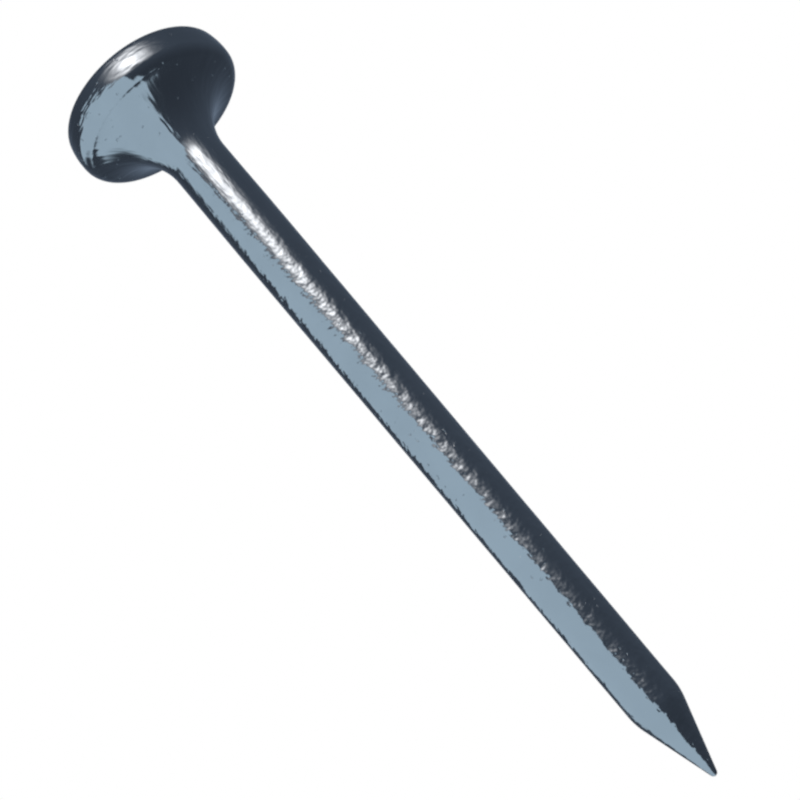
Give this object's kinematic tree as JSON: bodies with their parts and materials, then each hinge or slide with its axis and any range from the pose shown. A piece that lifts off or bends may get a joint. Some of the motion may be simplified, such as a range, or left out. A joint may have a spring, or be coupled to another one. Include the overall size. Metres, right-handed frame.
{
  "type": "rail spike",
  "caption": "Solid forged steel track spike with a round mushroom head, a flared neck, a round shank and a conical point, driven to hold a rail or plate down on a wooden sleeper.",
  "frame": {"origin": "on the spike's axis at the neck, where the straight shank ends and the flare under the head begins", "axes": "+Z along the spike's axis from the point towards the head, so the spike is upright with its point down as it is driven; +X and +Y are any two directions across the round shank"},
  "size_m": [0.036, 0.036, 0.1651],
  "materials": {
    "polished_steel": "polished dark steel with fine forging lumps and draw marks"
  },
  "bodies": {
    "root": {"spike": "polished_steel"}
  },
  "joints": []
}
